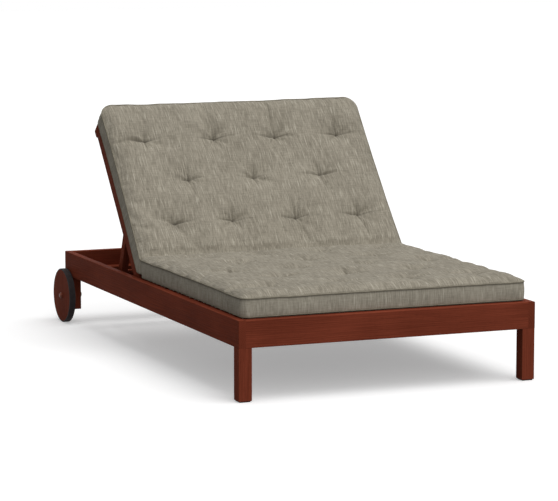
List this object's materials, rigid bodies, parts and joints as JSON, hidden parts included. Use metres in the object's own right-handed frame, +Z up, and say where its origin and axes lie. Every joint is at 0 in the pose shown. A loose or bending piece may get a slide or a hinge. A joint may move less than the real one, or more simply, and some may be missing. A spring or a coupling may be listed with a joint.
{
  "type": "double chaise lounger",
  "caption": "Wide slatted hardwood chaise for two with a reclining back on a prop, rear wheels and a tufted boxed cushion.",
  "frame": {"origin": "middle of the footprint, on the ground", "axes": "+Z up, +Y from the foot end to the head end, +X to the right as seen from the foot end"},
  "size_m": [1.3006, 2.145, 0.972],
  "materials": {
    "wood": "satin red-brown stain on hardwood",
    "fabric": "slubby woven outdoor cloth, taupe",
    "steel": "dull plated steel",
    "tyre": "matt dark grey rubber",
    "glide": "matt black plastic"
  },
  "bodies": {
    "frame": {"left_side_rail": "wood", "right_side_rail": "wood", "foot_rail": "wood", "head_rail": "wood", "front_left_leg": "wood", "front_right_leg": "wood", "rear_left_leg": "wood", "rear_right_leg": "wood", "foot_glides": "glide", "left_slat_cleat": "wood", "right_slat_cleat": "wood", "centre_beam": "wood", "hinge_cross_rail": "wood", "front_rack_rail": "wood", "rear_rack_rail": "wood", "head_ledge": "wood", "left_rack": "wood", "right_rack": "wood", "seat_slat_01": "wood", "seat_slat_02": "wood", "seat_slat_03": "wood", "seat_slat_04": "wood", "seat_slat_05": "wood", "seat_slat_06": "wood", "seat_slat_07": "wood", "seat_slat_08": "wood", "seat_slat_09": "wood", "seat_slat_10": "wood", "seat_slat_11": "wood", "seat_slat_12": "wood", "axle_bolts": "steel", "axle_washers": "steel", "left_hub_cap": "steel", "right_hub_cap": "steel", "corner_bolts": "steel", "hinge_bolts": "steel", "seat_cushion": "fabric"},
    "backrest": {"left_stile": "wood", "right_stile": "wood", "centre_stile": "wood", "top_rail": "wood", "bottom_rail": "wood", "back_slat_01": "wood", "back_slat_02": "wood", "back_slat_03": "wood", "back_slat_04": "wood", "back_slat_05": "wood", "back_slat_06": "wood", "back_slat_07": "wood", "back_slat_08": "wood", "back_cushion": "fabric", "prop_studs": "steel"},
    "prop": {"left_prop_arm": "wood", "right_prop_arm": "wood", "foot_bar": "wood"},
    "left_wheel": {"left_wheel_disc": "wood", "left_tyre": "tyre"},
    "right_wheel": {"right_wheel_disc": "wood", "right_tyre": "tyre"}
  },
  "joints": [
    {"name": "back_recline", "type": "hinge", "parent": "frame", "child": "backrest", "pos_m": [0, 0.1305, 0.268], "axis": [1, 0, 0], "range_deg": [-49.5, 0]},
    {"name": "prop_fold", "type": "hinge", "parent": "backrest", "child": "prop", "pos_m": [0, 0.34807, 0.52274], "axis": [1, 0, 0], "range_deg": [0, 117.5]},
    {"name": "left_wheel_spin", "type": "hinge", "parent": "frame", "child": "left_wheel", "pos_m": [-0.6275, 0.9555, 0.117], "axis": [1, 0, 0], "continuous": true},
    {"name": "right_wheel_spin", "type": "hinge", "parent": "frame", "child": "right_wheel", "pos_m": [0.6275, 0.9555, 0.117], "axis": [1, 0, 0], "continuous": true}
  ],
  "couplings": [
    {"joint": "prop_fold", "follows": "back_recline", "ratio": -2.3737}
  ]
}
